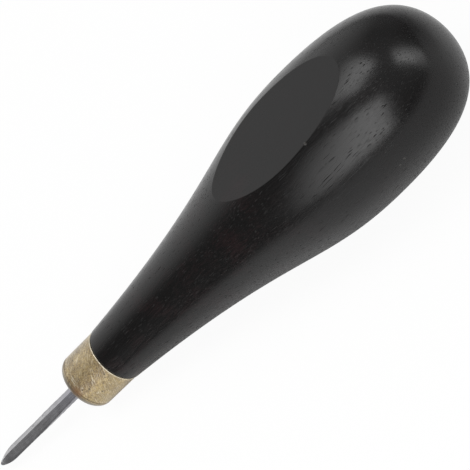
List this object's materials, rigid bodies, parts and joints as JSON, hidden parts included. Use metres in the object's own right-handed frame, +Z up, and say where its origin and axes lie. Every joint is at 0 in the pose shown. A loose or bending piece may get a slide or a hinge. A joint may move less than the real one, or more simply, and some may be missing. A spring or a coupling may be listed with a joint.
{
  "type": "stitching awl",
  "caption": "Stitching awl: slim diamond-section steel blade, rounded brass ferrule and a turned pear-shaped black hardwood haft with a thumb flat, for piercing leather before sewing.",
  "frame": {"origin": "on the bench, under the middle of the awl's length, where the awl lies on its belly and its ferrule lip", "axes": "+X along the bench towards the blade's tip, +Z up with the thumb flat on top, +Y to complete a right-handed frame"},
  "size_m": [0.1406, 0.033, 0.0343],
  "materials": {
    "ebony": "polished near-black ebony with fine pores along the grain and faint brown streaks at the neck",
    "brass": "aged, mottled brass with fine scratches and a brighter rear edge",
    "steel": "ground and polished tool steel"
  },
  "bodies": {
    "root": {"haft": "ebony", "ferrule": "brass", "blade": "steel"}
  },
  "joints": []
}
